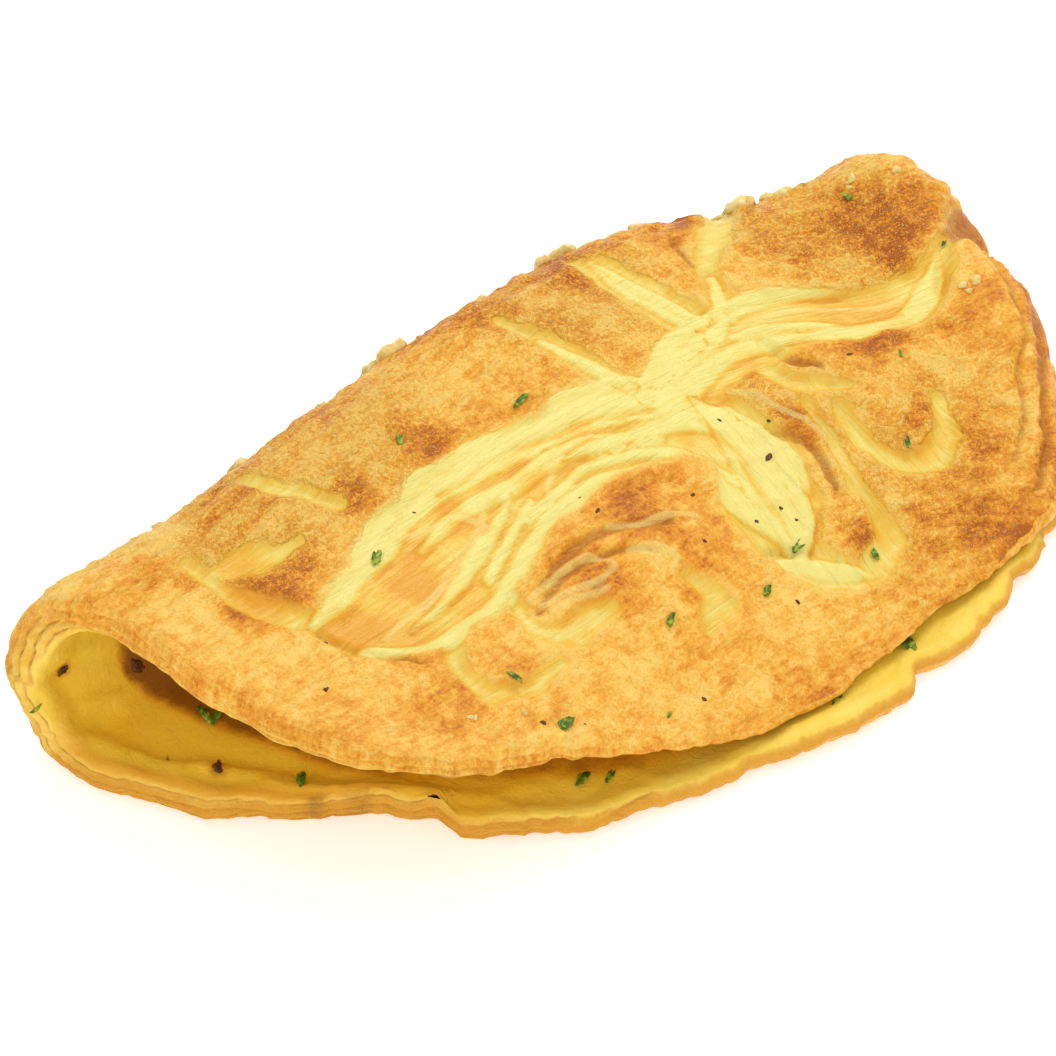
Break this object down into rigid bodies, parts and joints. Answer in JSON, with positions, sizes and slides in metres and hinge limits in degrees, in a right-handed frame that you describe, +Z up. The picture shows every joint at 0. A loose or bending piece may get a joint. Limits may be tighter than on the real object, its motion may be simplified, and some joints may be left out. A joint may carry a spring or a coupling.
{
  "type": "folded omelette",
  "caption": "Folded omelette: a round sheet of egg with a browned, creased crust, folded once, open at one end and along the front.",
  "frame": {"origin": "middle of the bounding box's bottom face, on the surface the omelette lies on", "axes": "+X along the fold towards the closed end, +Y towards the fold's rounded back, +Z up"},
  "size_m": [0.2094, 0.1094, 0.0373],
  "materials": {
    "cooked_egg": "satin, lightly oiled",
    "herb_leaf": "matt"
  },
  "bodies": {
    "root": {"omelette": "cooked_egg"}
  },
  "joints": []
}
